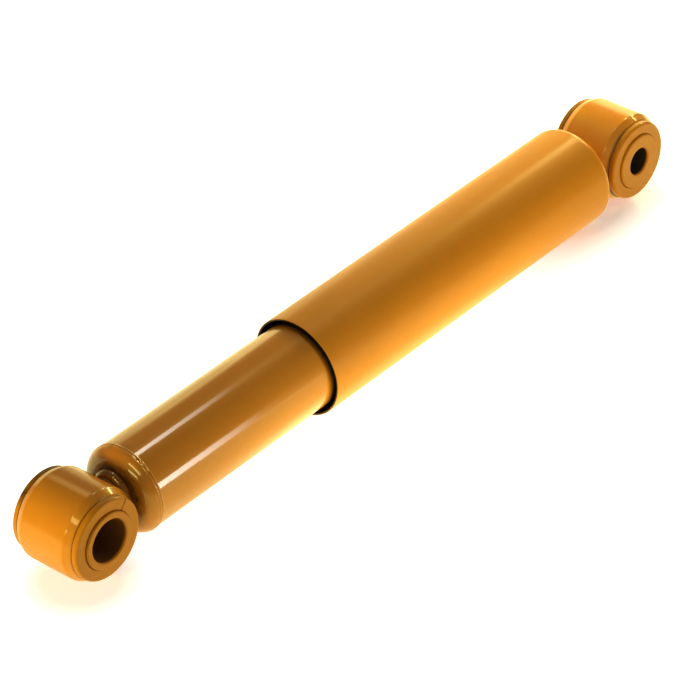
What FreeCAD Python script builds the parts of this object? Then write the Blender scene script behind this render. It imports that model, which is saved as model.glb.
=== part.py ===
"""Twin-tube shock absorber with an eye at each end and a dust tube over its rod.

Millimetres. The damper's axis lies along X, from the lower eye at the origin to the upper eye.
Both eyes turn about Y, and Z is up. It is drawn part-way through its stroke.
"""
import FreeCAD, Part
import math
import os
import re

import Sketcher

os.makedirs("parts", exist_ok=True)
doc = FreeCAD.newDocument("ShockAbsorber")

# How many of each repeated feature.
DISC_COUNT = 3
BASE_PORTS = 8
BASE_BLEEDS = 6
PISTON_PORTS = 8
PISTON_BLEEDS = 6
SPRING_FINGERS = 6
GUIDE_DRAINS = 4

# Driving sizes: alias, value, meaning.
SIZES = [
    # Eyes
    ("lower_bore", 30.0, "bore of the lower sleeve"),
    ("lower_sleeve_wall", 5.0, "wall of the lower sleeve"),
    ("lower_ring_width", 47.0, "width of the lower eye ring along its axis"),
    ("upper_bore", 20.0, "bore of the upper sleeve"),
    ("upper_sleeve_wall", 10.0, "wall of the upper sleeve"),
    ("upper_ring_width", 45.5, "width of the upper eye ring along its axis"),
    ("rubber_wall", 7.0, "rubber between sleeve and eye ring"),
    ("ring_wall", 4.75, "wall of an eye ring"),
    ("ring_bevel_length", 5.5, "bevel of an eye ring, along its axis"),
    ("ring_bevel_depth", 3.0, "bevel of an eye ring, across its wall"),
    ("flange_lip", 1.5, "how far a rubber flange reaches out past the ring's bore"),
    ("flange_thickness", 4.5, "rubber flange outside the ring's end face"),
    ("flange_rim_radius", 2.0, "rounded rim of a rubber flange"),
    ("flange_mouth", 0.5, "groove round the sleeve in a rubber flange"),
    ("sleeve_proud", 1.5, "how far a sleeve stands out of its rubber"),
    ("sleeve_chamfer", 0.8, "chamfer on a sleeve's edges"),
    ("split_width", 0.6, "width of the split in the lower rubber"),
    ("split_depth", 2.5, "depth of that split"),
    ("split_angle", 49.0, "direction of that split above the damper's axis, in degrees"),
    # Welds
    ("lower_weld_gap", 3.75, "from the lower eye ring to the base cap"),
    ("lower_weld_reach", 20.5, "half the lower weld's height and width on the cap"),
    ("upper_weld_gap", 7.75, "from the dust tube's end to the upper eye ring"),
    ("upper_weld_reach", 16.0, "half the upper weld's height and width on the dust tube"),
    ("weld_taper", 20.0, "slope of a weld's flank, in degrees"),
    ("seam_width", 4.0, "width of the seam weld's two ridges"),
    ("seam_height", 0.45, "how far those ridges stand proud"),
    ("seam_prep", 1.0, "chamfer filled by the seam weld"),
    # Tubes, from the bore outwards
    ("rod_dia", 20.0, "piston rod"),
    ("piston_bore", 45.0, "bore of the pressure tube"),
    ("pressure_wall", 1.5, "wall of the pressure tube"),
    ("reservoir_gap", 5.0, "oil space between the two tubes"),
    ("body_wall", 2.0, "wall of the reservoir tube"),
    ("rolled_lip", 6.0, "how far the reservoir tube's end is rolled in"),
    ("rolled_radius", 3.0, "outer radius of that rolled end"),
    ("dust_gap", 3.25, "air between body and dust tube"),
    ("dust_wall", 1.5, "wall of the dust tube"),
    ("dust_shoulder", 6.0, "rounded shoulder of the dust tube"),
    ("dust_plate_thickness", 4.0, "plate inside the dust tube"),
    # Base cap
    ("cap_wall", 3.0, "wall of the base cap"),
    ("cap_dome", 12.0, "radius of the base cap's rounded edge"),
    ("cap_rise", 8.2, "how deep that edge is along the axis"),
    ("cap_rim", 2.0, "straight rim of the base cap"),
    # Base valve
    ("foot_height", 7.0, "castellated feet of the base valve"),
    ("foot_width", 2.5, "wall of those feet"),
    ("foot_inset", 0.4, "feet to the start of the cap's rounded edge"),
    ("foot_slot", 14.0, "oil slot between two feet"),
    ("base_flange", 3.0, "flange that the pressure tube stands on"),
    ("base_spigot", 6.0, "spigot inside the pressure tube"),
    ("base_bolt_dia", 8.0, "bolt through the base valve"),
    ("base_head_dia", 15.0, "heads of that bolt"),
    ("base_head_height", 2.5, "bolt head under the base valve"),
    ("base_collar_height", 4.0, "bolt collar over the base valve"),
    ("base_port_dia", 4.0, "intake ports"),
    ("base_bleed_dia", 3.0, "compression ports"),
    ("port_land", 1.0, "metal left beside a ring of ports"),
    # Piston and its valve
    ("piston_height", 18.0, "piston"),
    ("piston_side_gap", 0.4, "piston to pressure tube, per side"),
    ("piston_port_dia", 4.5, "outer ports of the piston"),
    ("piston_bleed_dia", 3.5, "inner ports of the piston"),
    ("ring_groove_width", 8.0, "groove of the piston ring"),
    ("ring_groove_depth", 2.0, "depth of that groove"),
    ("stem_dia", 14.0, "stepped end of the rod"),
    ("stem_tail", 2.0, "end of the stem below the nut"),
    ("nut_flats", 21.0, "piston nut across its flats"),
    ("nut_height", 8.0, "piston nut"),
    ("washer_thickness", 2.0, "backing and support washers"),
    ("washer_dia", 17.0, "backing and support washers"),
    ("disc_thickness", 0.6, "one spring disc"),
    ("disc_step", 1.5, "how much smaller each next disc is, in radius"),
    ("plate_thickness", 0.9, "intake and check plates"),
    ("spring_height", 1.6, "coned star spring, as fitted"),
    ("spring_thickness", 0.5, "sheet of a star spring"),
    ("spring_slot", 2.0, "slot between two fingers of a star spring"),
    # Rebound stop
    ("stop_offset", 8.0, "from the rod's shoulder to the stop ring"),
    ("stop_width", 3.5, "stop ring"),
    ("stop_groove", 1.0, "groove that holds the stop ring"),
    ("stop_wall", 6.0, "how far the stop ring stands out of the rod"),
    ("bumper_height", 10.0, "rebound bumper"),
    ("bumper_bulge", 1.0, "how far its middle stands out"),
    # Rod guide and seal
    ("guide_spigot", 10.0, "guide inside the pressure tube"),
    ("guide_flange", 10.0, "guide inside the reservoir tube"),
    ("guide_bush_wall", 1.5, "bush that the rod slides in"),
    ("guide_land", 1.0, "lip under that bush"),
    ("guide_drain_dia", 2.0, "oil drains through the guide"),
    ("guide_drain_land", 0.3, "from the pressure tube to those drains"),
    ("o_ring_section", 2.4, "guide O-ring"),
    ("seal_wall", 7.0, "rod seal, from rod to outer face"),
    ("seal_height", 6.0, "rod seal, inside the guide"),
    ("wiper_wall", 2.8, "wiper lip of the rod seal"),
    ("wiper_height", 4.5, "wiper lip above the guide"),
    ("wiper_tip", 0.6, "thickness of its tip"),
    ("seal_plate_thickness", 3.0, "plate over the rod seal"),
    # Clearances and travel
    ("running_gap", 0.05, "radial gap of a sliding or turning fit"),
    ("seat_gap", 0.05, "radial gap of a pressed or bonded fit"),
    ("free_gap", 0.4, "gap round a plate that lifts"),
    ("compress_travel", 105.0, "inward travel from the drawn position"),
    ("extend_travel", 130.0, "outward travel from the drawn position"),
    ("closed_gap", 3.0, "rod end to base valve when closed"),
    ("top_gap", 9.0, "body to dust plate when closed"),
    ("open_gap", 0.5, "bumper to guide when open"),
    ("lip_overlap", 43.5, "dust tube left over the body when open"),
]

# Radii and stations worked out from the driving sizes. Stations are distances along X.
PLACES = [
    ("lower_sleeve_radius", "Sizes.lower_bore / 2 + Sizes.lower_sleeve_wall"),
    ("upper_sleeve_radius", "Sizes.upper_bore / 2 + Sizes.upper_sleeve_wall"),
    ("lower_ring_bore", "lower_sleeve_radius + Sizes.rubber_wall"),
    ("upper_ring_bore", "upper_sleeve_radius + Sizes.rubber_wall"),
    ("lower_ring_radius", "lower_ring_bore + Sizes.ring_wall"),
    ("upper_ring_radius", "upper_ring_bore + Sizes.ring_wall"),
    ("lower_bush_length", "Sizes.lower_ring_width + 2 * Sizes.flange_thickness"),
    ("upper_bush_length", "Sizes.upper_ring_width + 2 * Sizes.flange_thickness"),
    ("lower_sleeve_length", "lower_bush_length + 2 * Sizes.sleeve_proud"),
    ("upper_sleeve_length", "upper_bush_length + 2 * Sizes.sleeve_proud"),
    ("rod_radius", "Sizes.rod_dia / 2"),
    ("stem_radius", "Sizes.stem_dia / 2"),
    ("bore_radius", "Sizes.piston_bore / 2"),
    ("pressure_radius", "bore_radius + Sizes.pressure_wall"),
    ("reservoir_bore", "pressure_radius + Sizes.reservoir_gap"),
    ("body_radius", "reservoir_bore + Sizes.body_wall"),
    ("dust_bore", "body_radius + Sizes.dust_gap"),
    ("dust_radius", "dust_bore + Sizes.dust_wall"),
    ("cap_flat", "body_radius - sqrt(Sizes.cap_dome ^ 2 - (Sizes.cap_dome - Sizes.cap_rise) ^ 2)"),
    ("cap_depth", "Sizes.cap_rise + Sizes.cap_rim"),
    ("cap_hollow", "Sizes.cap_dome - Sizes.cap_wall"),
    ("cap_reach", "body_radius - Sizes.cap_wall - cap_flat"),
    ("cap_inner_rise", "Sizes.cap_dome - sqrt(cap_hollow ^ 2 - cap_reach ^ 2)"),
    ("bolt_radius", "Sizes.base_bolt_dia / 2"),
    ("bolt_head_radius", "Sizes.base_head_dia / 2"),
    ("foot_radius", "cap_flat - Sizes.foot_inset"),
    ("bleed_circle", "bolt_head_radius + Sizes.base_bleed_dia / 2 + Sizes.free_gap"),
    ("plate_eye", "bleed_circle + Sizes.base_bleed_dia / 2 + Sizes.free_gap"),
    ("port_circle", "plate_eye + Sizes.base_port_dia / 2 + Sizes.port_land"),
    ("plate_rim", "port_circle + Sizes.base_port_dia / 2 + Sizes.port_land"),
    ("washer_radius", "Sizes.washer_dia / 2"),
    ("piston_radius", "bore_radius - Sizes.piston_side_gap"),
    ("groove_radius", "piston_radius - Sizes.ring_groove_depth"),
    ("inner_circle", "stem_radius + Sizes.piston_bleed_dia / 2 + Sizes.port_land"),
    ("check_eye", "inner_circle + Sizes.piston_bleed_dia / 2 + Sizes.free_gap"),
    ("outer_circle", "check_eye + Sizes.piston_port_dia / 2 + Sizes.port_land"),
    ("check_rim", "outer_circle + Sizes.piston_port_dia / 2 + Sizes.port_land"),
    ("disc_stack", f"{DISC_COUNT} * Sizes.disc_thickness"),
    ("guide_bore", "rod_radius + Sizes.running_gap + Sizes.guide_bush_wall"),
    ("drain_circle", "pressure_radius + Sizes.guide_drain_dia / 2 + Sizes.guide_drain_land"),
    ("guide_length", "Sizes.guide_spigot + Sizes.guide_flange"),
    ("seal_radius", "rod_radius + Sizes.seal_wall"),
    ("wiper_radius", "rod_radius + Sizes.wiper_wall"),
    ("bush_length", "guide_length - Sizes.seal_height - Sizes.guide_land"),
    ("stop_radius", "rod_radius + Sizes.stop_wall"),
    ("seam_radius", "(Sizes.seam_width ^ 2 / 16 + Sizes.seam_height ^ 2) / (2 * Sizes.seam_height)"),
    ("cap_face", "lower_ring_radius + Sizes.lower_weld_gap"),
    ("seam_station", "cap_face + cap_depth"),
    ("valve_seat", "cap_face + Sizes.cap_wall"),
    ("pressure_station", "valve_seat + Sizes.foot_height + Sizes.base_flange"),
    ("valve_top", "pressure_station + Sizes.base_spigot"),
    ("collar_station", "valve_top + Sizes.plate_thickness + Sizes.spring_height"),
    ("base_top", "collar_station + Sizes.base_collar_height"),
    ("rod_tip", "base_top + Sizes.closed_gap + Sizes.compress_travel"),
    ("nut_station", "rod_tip + Sizes.stem_tail"),
    ("washer_station", "nut_station + Sizes.nut_height"),
    ("rebound_station", "washer_station + Sizes.washer_thickness"),
    ("piston_station", "rebound_station + disc_stack"),
    ("check_station", "piston_station + Sizes.piston_height"),
    ("spring_station", "check_station + Sizes.plate_thickness"),
    ("support_station", "spring_station + Sizes.spring_height"),
    ("shoulder_station", "support_station + Sizes.washer_thickness"),
    ("stop_station", "shoulder_station + Sizes.stop_offset"),
    ("bumper_station", "stop_station + Sizes.stop_width"),
    ("guide_station", "bumper_station + Sizes.bumper_height + Sizes.open_gap + Sizes.extend_travel"),
    ("guide_step", "guide_station + Sizes.guide_spigot"),
    ("seal_station", "guide_station + guide_length - Sizes.seal_height"),
    ("plate_station", "guide_station + guide_length"),
    ("body_top", "plate_station + Sizes.seal_plate_thickness + Sizes.body_wall"),
    ("body_length", "body_top - seam_station"),
    ("pressure_length", "guide_step - pressure_station"),
    ("dust_plate_station", "body_top + Sizes.compress_travel + Sizes.top_gap"),
    ("dust_end", "dust_plate_station + Sizes.dust_plate_thickness + Sizes.dust_wall"),
    ("dust_lip", "body_top - Sizes.extend_travel - Sizes.lip_overlap"),
    ("dust_length", "dust_end - dust_lip"),
    ("rod_end", "dust_end + Sizes.upper_weld_gap - Sizes.seat_gap"),
    ("rod_length", "rod_end - rod_tip"),
    ("eye_to_eye", "dust_end + Sizes.upper_weld_gap + upper_ring_radius"),
]


def fill_sheet(name, rows):
    """Write one aliased cell per row and return the sheet."""
    sheet = doc.addObject("Spreadsheet::Sheet", name)
    for number, (alias, content, *note) in enumerate(rows, start=1):
        sheet.set(f"A{number}", note[0] if note else alias)
        sheet.set(f"B{number}", f"={content}" if isinstance(content, str) else str(content))
        sheet.setAlias(f"B{number}", alias)
    doc.recompute()
    return sheet


sizes = fill_sheet("Sizes", SIZES)
fill_sheet("Places", PLACES)
SHEET_OF = {alias: "Sizes" for alias, *_ in SIZES} | {alias: "Places" for alias, *_ in PLACES}


def bound(expression):
    """Give each alias in an expression the name of its sheet."""
    def with_sheet(match):
        word = match.group()
        return f"{SHEET_OF[word]}.{word}" if word in SHEET_OF else word
    return re.sub(r"\w+", with_sheet, expression)


def value(expression):
    """The present value of an expression."""
    return float(sizes.evalExpression(bound(expression)))


def bind(item, prop, expression):
    item.setExpression(prop, bound(expression))


def plane(body, role):
    """One of a body's own origin planes."""
    return next(item for item in body.Origin.OriginFeatures if item.Role == role)


def new_sketch(body, name, role):
    sketch = body.newObject("Sketcher::SketchObject", name)
    sketch.AttachmentSupport = (plane(body, role), [""])
    sketch.MapMode = "FlatFace"
    return sketch


def hold_point(sketch, item, end, first, second):
    """Tie one end of a sketch element to its two coordinates."""
    for kind, axis, expression in (("DistanceX", -2, first), ("DistanceY", -1, second)):
        if expression == "0":
            sketch.addConstraint(Sketcher.Constraint("PointOnObject", item, end, axis))
            continue
        held = Sketcher.Constraint(kind, -1, 1, item, end, value(expression))
        index = sketch.addConstraint(held)
        bind(sketch, f"Constraints[{index}]", expression)


def draw_outline(sketch, points):
    """Draw a closed outline. A point may carry the radius of the arc that leaves it:
    a plain radius turns left, and a radius with a minus sign in front turns right."""
    spots = [FreeCAD.Vector(value(point[0]), value(point[1]), 0) for point in points]
    ends = []
    for number, point in enumerate(points):
        here, there = spots[number], spots[(number + 1) % len(points)]
        if len(point) == 2:
            item = sketch.addGeometry(Part.LineSegment(here, there), False)
            ends.append((item, 1, 2))
            continue
        turns_left = not point[2].startswith("-")
        radius = point[2].lstrip("-")
        chord = there - here
        side = FreeCAD.Vector(-chord.y, chord.x, 0).normalize() * (1 if turns_left else -1)
        drop = math.sqrt(max(value(radius) ** 2 - chord.Length ** 2 / 4, 0))
        centre = (here + there) * 0.5 + side * drop
        first, last = (here, there) if turns_left else (there, here)
        start = math.atan2(first.y - centre.y, first.x - centre.x)
        finish = math.atan2(last.y - centre.y, last.x - centre.x)
        circle = Part.Circle(centre, FreeCAD.Vector(0, 0, 1), value(radius))
        item = sketch.addGeometry(Part.ArcOfCircle(circle, start, finish), False)
        index = sketch.addConstraint(Sketcher.Constraint("Radius", item, value(radius)))
        bind(sketch, f"Constraints[{index}]", radius)
        ends.append((item, 1, 2) if turns_left else (item, 2, 1))
    for number, point in enumerate(points):
        before, this = ends[number - 1], ends[number]
        sketch.addConstraint(Sketcher.Constraint("Coincident", before[0], before[2], this[0], this[1]))
        hold_point(sketch, this[0], this[1], point[0], point[1])


def revolved(label, outline, station="0"):
    """A turned piece: an outline of distances along the axis and radii, spun about X."""
    body = doc.addObject("PartDesign::Body", label)
    sketch = new_sketch(body, f"{label}_outline", "XY_Plane")
    draw_outline(sketch, outline)
    turned = body.newObject("PartDesign::Revolution", f"{label}_turned")
    turned.Profile = sketch
    turned.ReferenceAxis = (sketch, ["H_Axis"])
    turned.Angle = 360
    if station != "0":
        bind(body, "Placement.Base.x", station)
    return body


def across(body, centre, length):
    """Turn a piece's axis from X to Y, centred on an eye."""
    body.Placement.Rotation = FreeCAD.Rotation(FreeCAD.Vector(0, 0, 1), 90)
    bind(body, "Placement.Base.x", centre)
    bind(body, "Placement.Base.y", f"0 - {length} / 2")


def cut_through(body, name, sketch, count=1, axis="N_Axis", angle=360):
    """Cut a sketch right through a body, repeated round one of the sketch's axes."""
    before = body.Shape.Volume
    pocket = body.newObject("PartDesign::Pocket", name)
    pocket.Profile = sketch
    pocket.Type = "ThroughAll"
    pocket.Midplane = True
    if count > 1:
        pattern = body.newObject("PartDesign::PolarPattern", f"{name}_pattern")
        pattern.Originals = [pocket]
        pattern.Axis = (sketch, [axis])
        pattern.Angle = angle
        pattern.Occurrences = count
        body.Tip = pattern
    doc.recompute()
    if body.Shape.Volume >= before:
        raise RuntimeError(f"{name} cut nothing")


def ports(body, name, circle, diameter, count):
    """Round holes along X, spaced evenly on a circle."""
    doc.recompute()
    sketch = new_sketch(body, f"{name}_sketch", "YZ_Plane")
    centre = FreeCAD.Vector(value(circle), 0, 0)
    hole = Part.Circle(centre, FreeCAD.Vector(0, 0, 1), value(diameter) / 2)
    item = sketch.addGeometry(hole, False)
    hold_point(sketch, item, 3, circle, "0")
    index = sketch.addConstraint(Sketcher.Constraint("Diameter", item, value(diameter)))
    bind(sketch, f"Constraints[{index}]", diameter)
    cut_through(body, name, sketch, count)


def slot_outline(sketch, inner, outer, width):
    """A rectangle centred on the sketch's first axis, from one radius to another."""
    half = f"{width} / 2"
    draw_outline(sketch, [
        (inner, f"0 - {half}"),
        (outer, f"0 - {half}"),
        (outer, half),
        (inner, half),
    ])


def eye_ring(label, bore, radius, width, centre):
    """A length of thick tube, bevelled at both ends."""
    ring = revolved(label, [
        ("0", bore),
        ("0", f"{radius} - ring_bevel_depth"),
        ("ring_bevel_length", radius),
        (f"{width} - ring_bevel_length", radius),
        (width, f"{radius} - ring_bevel_depth"),
        (width, bore),
    ])
    across(ring, centre, width)
    return ring


def eye_bush(label, sleeve, bore, length, width, centre):
    """Rubber between sleeve and ring, with a round-rimmed flange over each end of the ring."""
    inner = f"{sleeve} + running_gap"
    rim = f"{bore} + flange_lip"
    bush = revolved(label, [
        ("flange_mouth", inner),
        ("0", f"{inner} + flange_mouth"),
        ("0", f"{rim} - flange_rim_radius", "-flange_rim_radius"),
        ("flange_rim_radius", rim),
        ("flange_thickness", rim),
        ("flange_thickness", f"{bore} - seat_gap"),
        (f"flange_thickness + {width}", f"{bore} - seat_gap"),
        (f"flange_thickness + {width}", rim),
        (f"{length} - flange_rim_radius", rim, "-flange_rim_radius"),
        (length, f"{rim} - flange_rim_radius"),
        (length, f"{inner} + flange_mouth"),
        (f"{length} - flange_mouth", inner),
    ])
    across(bush, centre, length)
    return bush


def eye_sleeve(label, bore, radius, length, centre):
    """The steel tube that a bolt goes through, with its edges chamfered."""
    hole = f"{bore} / 2"
    sleeve = revolved(label, [
        ("sleeve_chamfer", hole),
        ("0", f"{hole} + sleeve_chamfer"),
        ("0", f"{radius} - sleeve_chamfer"),
        ("sleeve_chamfer", radius),
        (f"{length} - sleeve_chamfer", radius),
        (length, f"{radius} - sleeve_chamfer"),
        (length, f"{hole} + sleeve_chamfer"),
        (f"{length} - sleeve_chamfer", hole),
    ])
    across(sleeve, centre, length)
    return sleeve


def split_bush(bush):
    """The split in the rubber's near flange, from the sleeve out to the rim."""
    doc.recompute()
    before = bush.Shape.Volume
    sketch = new_sketch(bush, "bush_split_sketch", "YZ_Plane")
    slot_outline(sketch, "lower_sleeve_radius", "lower_ring_radius", "split_width")
    split = bush.newObject("PartDesign::Pocket", "bush_split")
    split.Profile = sketch
    split.Reversed = True
    bind(split, "Length", "split_depth")
    bind(sketch, "AttachmentOffset.Rotation.Angle", "180 - split_angle")
    doc.recompute()
    if bush.Shape.Volume >= before:
        raise RuntimeError("bush_split cut nothing")


def eye_weld(label, station, gap, reach, ring_radius, direction):
    """A weld's tapered root on a flat end, hollowed to the ring that it holds."""
    body = doc.addObject("PartDesign::Body", label)
    foot = new_sketch(body, f"{label}_foot", "YZ_Plane")
    circle = Part.Circle(FreeCAD.Vector(0, 0, 0), FreeCAD.Vector(0, 0, 1), value(reach))
    item = foot.addGeometry(circle, False)
    hold_point(foot, item, 3, "0", "0")
    index = foot.addConstraint(Sketcher.Constraint("Radius", item, value(reach)))
    bind(foot, f"Constraints[{index}]", reach)
    root = body.newObject("PartDesign::Pad", f"{label}_root")
    root.Profile = foot
    root.Reversed = direction < 0
    bind(root, "Length", f"{gap} + {reach} / 2")
    bind(root, "TaperAngle", "0 - weld_taper")
    doc.recompute()
    saddle = new_sketch(body, f"{label}_saddle", "XZ_Plane")
    centre = f"{gap} + {ring_radius}" if direction > 0 else f"0 - ({gap} + {ring_radius})"
    ring = Part.Circle(FreeCAD.Vector(value(centre), 0, 0), FreeCAD.Vector(0, 0, 1), value(ring_radius))
    item = saddle.addGeometry(ring, False)
    hold_point(saddle, item, 3, centre, "0")
    index = saddle.addConstraint(Sketcher.Constraint("Radius", item, value(ring_radius)))
    bind(saddle, f"Constraints[{index}]", ring_radius)
    cut_through(body, f"{label}_hollow", saddle)
    bind(body, "Placement.Base.x", station)
    return body


def star_spring(label, eye, rim, station):
    """A coned spring washer, slotted into fingers."""
    spring = revolved(label, [
        ("0", f"{rim} - spring_thickness"),
        ("0", rim),
        ("spring_thickness", rim),
        ("spring_height", f"{eye} + spring_thickness"),
        ("spring_height", eye),
        ("spring_height - spring_thickness", eye),
    ], station)
    doc.recompute()
    sketch = new_sketch(spring, f"{label}_slot", "YZ_Plane")
    slot_outline(sketch, f"({eye} + {rim}) / 2", f"{rim} + spring_slot", "spring_slot")
    cut_through(spring, f"{label}_slots", sketch, SPRING_FINGERS)
    return spring


def disc_stack(label, eye, rim, station):
    """Thin spring discs on one stem, each next one larger."""
    discs = []
    for number in range(DISC_COUNT):
        step = DISC_COUNT - 1 - number
        disc = doc.addObject("Part::Cylinder", f"{label}_disc_{number}")
        hole = doc.addObject("Part::Cylinder", f"{label}_hole_{number}")
        bind(disc, "Radius", f"{rim} - {step} * disc_step")
        bind(hole, "Radius", eye)
        ring = doc.addObject("Part::Cut", f"{label}_{number}")
        ring.Base = disc
        ring.Tool = hole
        for part in (disc, hole):
            bind(part, "Height", "disc_thickness")
            part.Placement.Rotation = FreeCAD.Rotation(FreeCAD.Vector(0, 1, 0), 90)
            bind(part, "Placement.Base.x", f"{station} + {number} * disc_thickness")
        discs.append(ring)
    stack = doc.addObject("Part::Compound", label)
    stack.Links = discs
    return stack


# Lower eye
lower_ring = eye_ring("lower_eye_ring", "lower_ring_bore", "lower_ring_radius", "lower_ring_width", "0")
lower_bush = eye_bush("lower_bush", "lower_sleeve_radius", "lower_ring_bore", "lower_bush_length",
                      "lower_ring_width", "0")
split_bush(lower_bush)
lower_sleeve = eye_sleeve("lower_sleeve", "lower_bore", "lower_sleeve_radius", "lower_sleeve_length", "0")
lower_weld = eye_weld("lower_eye_weld", "cap_face", "lower_weld_gap", "lower_weld_reach",
                      "lower_ring_radius", -1)

# Base cap, its seam weld and the two tubes
base_cap = revolved("base_cap", [
    ("0", "0"),
    ("0", "cap_flat", "-cap_dome"),
    ("cap_rise", "body_radius"),
    ("cap_depth - seam_prep", "body_radius"),
    ("cap_depth", "body_radius - seam_prep"),
    ("cap_depth", "body_radius - cap_wall"),
    ("cap_inner_rise", "body_radius - cap_wall", "cap_hollow"),
    ("cap_wall", "cap_flat"),
    ("cap_wall", "0"),
], "cap_face")
base_seam = revolved("base_seam_weld", [
    ("0", "body_radius", "-seam_radius"),
    ("seam_width / 2", "body_radius + seam_height / 3", "-seam_radius"),
    ("seam_width", "body_radius"),
    ("seam_width / 2 + seam_prep", "body_radius"),
    ("seam_width / 2", "body_radius - seam_prep"),
    ("seam_width / 2 - seam_prep", "body_radius"),
], "seam_station - seam_width / 2")
reservoir_tube = revolved("reservoir_tube", [
    ("0", "reservoir_bore"),
    ("0", "body_radius - seam_prep"),
    ("seam_prep", "body_radius"),
    ("body_length - rolled_radius", "body_radius", "-rolled_radius"),
    ("body_length", "body_radius - rolled_radius"),
    ("body_length", "body_radius - rolled_lip"),
    ("body_length - body_wall", "body_radius - rolled_lip"),
    ("body_length - body_wall", "reservoir_bore"),
], "seam_station")
pressure_tube = revolved("pressure_tube", [
    ("0", "bore_radius"),
    ("0", "pressure_radius"),
    ("pressure_length", "pressure_radius"),
    ("pressure_length", "bore_radius"),
], "pressure_station")

# Base valve
base_valve = revolved("base_valve_body", [
    ("foot_height", "bolt_radius + seat_gap"),
    ("foot_height", "foot_radius - foot_width"),
    ("0", "foot_radius - foot_width"),
    ("0", "foot_radius"),
    ("foot_height", "foot_radius"),
    ("foot_height", "pressure_radius"),
    ("foot_height + base_flange", "pressure_radius"),
    ("foot_height + base_flange", "bore_radius - seat_gap"),
    ("foot_height + base_flange + base_spigot", "bore_radius - seat_gap"),
    ("foot_height + base_flange + base_spigot", "bolt_radius + seat_gap"),
], "valve_seat")
ports(base_valve, "base_ports", "port_circle", "base_port_dia", BASE_PORTS)
ports(base_valve, "base_bleeds", "bleed_circle", "base_bleed_dia", BASE_BLEEDS)
foot_gaps = new_sketch(base_valve, "base_foot_gaps", "XZ_Plane")
draw_outline(foot_gaps, [
    ("0 - foot_width", "0 - foot_slot / 2"),
    ("foot_height", "0 - foot_slot / 2"),
    ("foot_height", "foot_slot / 2"),
    ("0 - foot_width", "foot_slot / 2"),
])
cut_through(base_valve, "base_foot_slots", foot_gaps, 2, "H_Axis", 90)
compression_discs = disc_stack("compression_discs", "bolt_radius + seat_gap", "plate_eye",
                               "valve_seat + foot_height - disc_stack")
base_bolt = revolved("base_valve_bolt", [
    ("0", "0"),
    ("0", "bolt_head_radius"),
    ("base_head_height", "bolt_head_radius"),
    ("base_head_height", "bolt_radius"),
    ("base_head_height + collar_station - valve_seat - foot_height + disc_stack", "bolt_radius"),
    ("base_head_height + collar_station - valve_seat - foot_height + disc_stack", "bolt_head_radius"),
    ("base_head_height + base_top - valve_seat - foot_height + disc_stack", "bolt_head_radius"),
    ("base_head_height + base_top - valve_seat - foot_height + disc_stack", "0"),
], "valve_seat + foot_height - disc_stack - base_head_height")
intake_plate = revolved("intake_plate", [
    ("0", "plate_eye"),
    ("0", "plate_rim"),
    ("plate_thickness", "plate_rim"),
    ("plate_thickness", "plate_eye"),
], "valve_top")
intake_spring = star_spring("intake_spring", "bolt_radius + seat_gap", "plate_rim - port_land",
                            "valve_top + plate_thickness")

# Rod guide and seal
rod_guide = revolved("rod_guide", [
    ("0", "rod_radius + free_gap"),
    ("0", "bore_radius - seat_gap"),
    ("guide_spigot", "bore_radius - seat_gap"),
    ("guide_spigot", "reservoir_bore - seat_gap"),
    ("guide_spigot + (guide_flange - o_ring_section) / 2", "reservoir_bore - seat_gap"),
    ("guide_spigot + (guide_flange - o_ring_section) / 2", "reservoir_bore - o_ring_section"),
    ("guide_spigot + (guide_flange + o_ring_section) / 2", "reservoir_bore - o_ring_section"),
    ("guide_spigot + (guide_flange + o_ring_section) / 2", "reservoir_bore - seat_gap"),
    ("guide_length", "reservoir_bore - seat_gap"),
    ("guide_length", "seal_radius"),
    ("guide_length - seal_height", "seal_radius"),
    ("guide_length - seal_height", "guide_bore + seat_gap"),
    ("guide_land", "guide_bore + seat_gap"),
    ("guide_land", "rod_radius + free_gap"),
], "guide_station")
ports(rod_guide, "guide_drains", "drain_circle", "guide_drain_dia", GUIDE_DRAINS)
guide_bush = revolved("guide_bush", [
    ("0", "rod_radius + running_gap"),
    ("0", "guide_bore"),
    ("bush_length", "guide_bore"),
    ("bush_length", "rod_radius + running_gap"),
], "guide_station + guide_land")
guide_o_ring = doc.addObject("Part::Torus", "guide_o_ring")
bind(guide_o_ring, "Radius1", "reservoir_bore - o_ring_section / 2")
bind(guide_o_ring, "Radius2", "o_ring_section / 2 - seat_gap")
guide_o_ring.Placement.Rotation = FreeCAD.Rotation(FreeCAD.Vector(0, 1, 0), 90)
bind(guide_o_ring, "Placement.Base.x", "guide_step + guide_flange / 2")
rod_seal = revolved("rod_seal", [
    ("0", "rod_radius + seal_wall / 3"),
    ("0", "seal_radius - seat_gap"),
    ("seal_height", "seal_radius - seat_gap"),
    ("seal_height", "wiper_radius - seat_gap"),
    ("seal_height + wiper_height / 2", "wiper_radius - seat_gap"),
    ("seal_height + wiper_height", "rod_radius + running_gap + wiper_tip"),
    ("seal_height + wiper_height", "rod_radius + running_gap"),
    ("seal_height", "rod_radius + seal_wall / 4"),
    ("seal_height / 2", "rod_radius + running_gap"),
    ("seal_height / 3", "rod_radius + running_gap"),
], "seal_station")
seal_plate = revolved("seal_plate", [
    ("0", "wiper_radius"),
    ("0", "reservoir_bore - seat_gap"),
    ("seal_plate_thickness", "reservoir_bore - seat_gap"),
    ("seal_plate_thickness", "wiper_radius"),
], "plate_station")

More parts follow.
